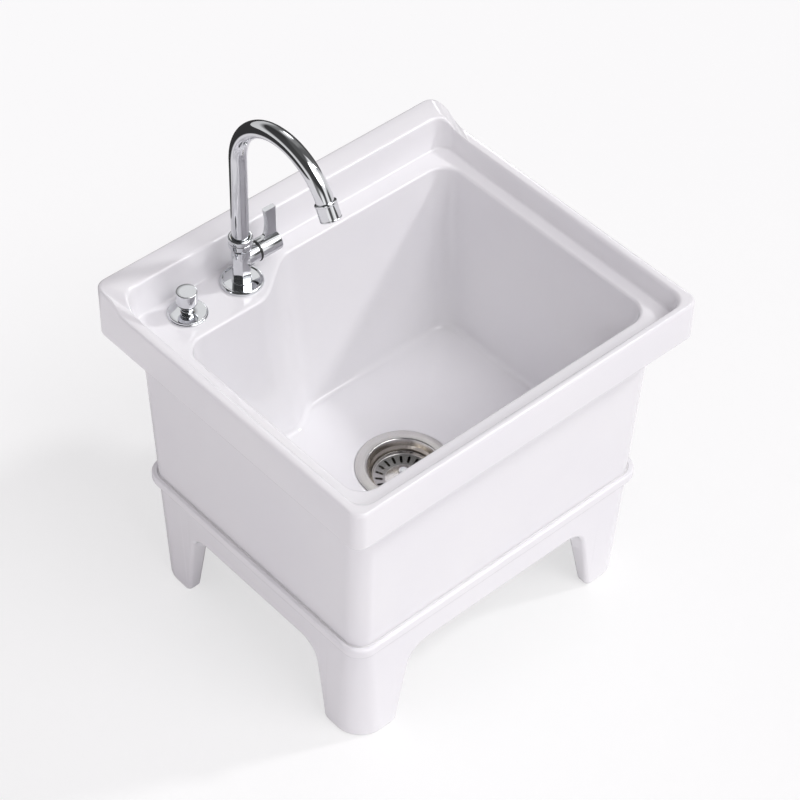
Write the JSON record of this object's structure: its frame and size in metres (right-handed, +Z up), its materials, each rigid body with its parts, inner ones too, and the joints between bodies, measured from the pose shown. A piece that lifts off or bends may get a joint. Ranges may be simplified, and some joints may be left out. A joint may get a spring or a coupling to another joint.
{
  "type": "mop sink",
  "caption": "White glazed ceramic mop sink on an arched ceramic stand, with a swivel gooseneck tap, side lever, lift-knob drain control and a slotted strainer drain.",
  "frame": {"origin": "on the floor, under the middle of the rim", "axes": "+Z up, -Y to the front, +X to the right seen from the front"},
  "size_m": [0.5, 0.44, 0.6847],
  "materials": {
    "glaze": "thick glossy white glaze",
    "sealant": "smooth white silicone",
    "chrome": "mirror chrome plate",
    "brass": "turned brass",
    "zinc_steel": "zinc plated steel",
    "brushed_steel": "satin stainless steel, brushed round the axis",
    "black_rubber": "matt moulded rubber",
    "black_plastic": "satin moulded plastic",
    "white_plastic": "satin moulded plastic"
  },
  "bodies": {
    "sink": {"basin": "glaze", "bedding_seal": "sealant", "stand": "glaze", "tap_body": "chrome", "escutcheon": "chrome", "escutcheon_gasket": "black_rubber", "tap_shank": "brass", "tap_rubber_washer": "black_rubber", "tap_steel_washer": "zinc_steel", "tap_lock_nut": "brass", "slip_ring": "white_plastic", "spout_collar": "chrome", "valve_cartridge": "white_plastic", "bonnet_ring": "black_plastic", "knob_flange": "chrome", "knob_guide": "brass", "knob_rubber_washer": "black_rubber", "knob_lock_nut": "brass", "cable_gland": "black_plastic", "drain_cup": "brushed_steel", "flange_seal": "black_rubber", "under_gasket": "black_rubber", "friction_washer": "white_plastic", "drain_lock_ring": "white_plastic", "outlet_housing": "white_plastic", "lifter_guide": "white_plastic", "housing_seal": "black_rubber", "port_gland": "black_plastic", "tail_washer": "black_rubber", "tailpiece": "white_plastic", "tail_nut": "white_plastic"},
    "spout": {"spout_tube": "chrome", "spout_ferrule": "brass", "spout_o_rings": "black_rubber", "aerator_shell": "chrome", "aerator_washer": "black_rubber", "aerator_insert": "white_plastic"},
    "lever": {"lever_handle": "chrome", "valve_stem": "brass", "lever_grub_screw": "zinc_steel"},
    "knob": {"knob_cap": "chrome", "knob_stem": "chrome", "knob_o_rings": "black_rubber"},
    "lifter": {"lifter_pin": "brass"},
    "strainer": {"strainer_basket": "brushed_steel", "strainer_knob": "chrome", "strainer_sleeve": "white_plastic", "strainer_plug": "black_rubber", "strainer_nut": "zinc_steel"}
  },
  "joints": [
    {"name": "spout_swivel", "type": "hinge", "parent": "sink", "child": "spout", "pos_m": [-0.098, 0.1502, 0.5], "axis": [0, 0, 1], "continuous": true},
    {"name": "lever_turn", "type": "hinge", "parent": "sink", "child": "lever", "pos_m": [-0.06, 0.1502, 0.455], "axis": [1, 0, 0], "range_deg": [0, 90]},
    {"name": "knob_lift", "type": "slide", "parent": "sink", "child": "knob", "axis": [0, 0, 1], "range_m": [0, 0.01]},
    {"name": "lifter_rise", "type": "slide", "parent": "sink", "child": "lifter", "axis": [0, 0, 1], "range_m": [0, 0.008]},
    {"name": "strainer_lift_out", "type": "slide", "parent": "lifter", "child": "strainer", "axis": [0, 0, 1], "range_m": [0, 0.06]}
  ],
  "couplings": [
    {"joint": "lifter_rise", "follows": "knob_lift", "ratio": 0.8}
  ]
}
